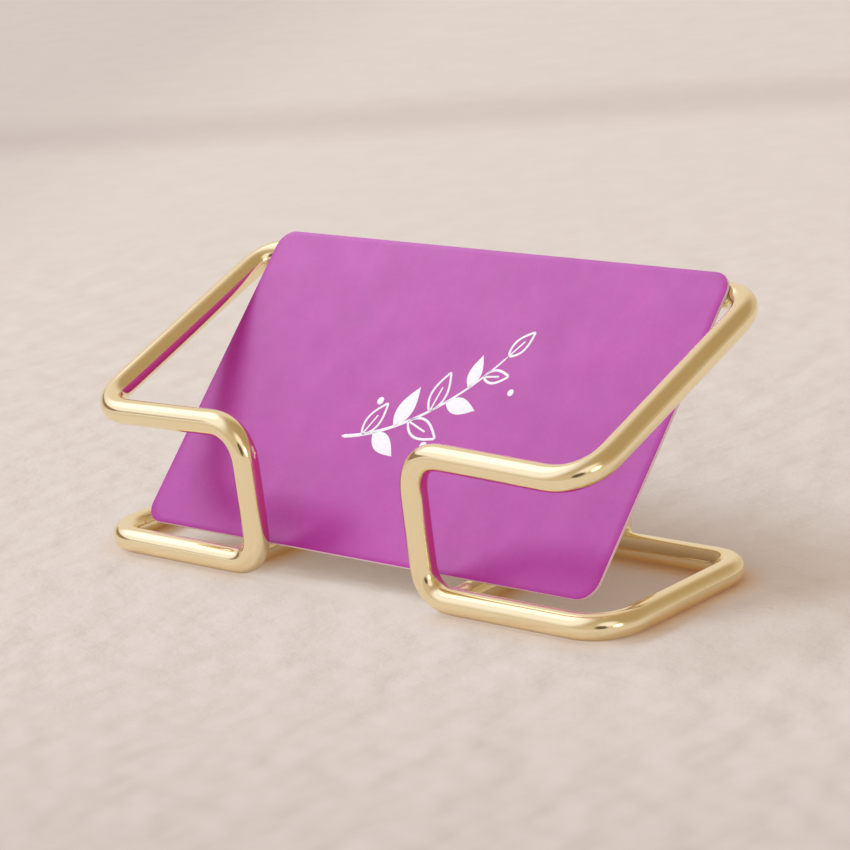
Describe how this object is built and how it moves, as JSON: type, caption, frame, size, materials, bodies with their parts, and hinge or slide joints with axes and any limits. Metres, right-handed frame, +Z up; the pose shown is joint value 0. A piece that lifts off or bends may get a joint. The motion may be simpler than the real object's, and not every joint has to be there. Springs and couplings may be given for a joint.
{
  "type": "business card holder stand",
  "caption": "Desk stand of bent polished gold wire with open hooks in front, holding a business card that leans back on a top rear bar.",
  "frame": {"origin": "on the table, under the middle of the stand's box", "axes": "+X to the right as the card is read, +Y from the front to the rear, +Z up"},
  "size_m": [0.103, 0.043, 0.0401],
  "materials": {
    "gold_wire": "mirror polished, pale gold",
    "card_stock": "matte, orchid purple with a pale core"
  },
  "bodies": {
    "stand": {"left_side_wire": "gold_wire", "right_side_wire": "gold_wire", "left_rest_bar": "gold_wire", "right_rest_bar": "gold_wire", "left_rear_leg": "gold_wire", "right_rear_leg": "gold_wire"},
    "card": {"business_card": "card_stock"}
  },
  "joints": [
    {"name": "card_lift", "type": "slide", "parent": "stand", "child": "card", "axis": [0, 0.7095, 0.7047], "range_m": [0, 0.062]}
  ]
}
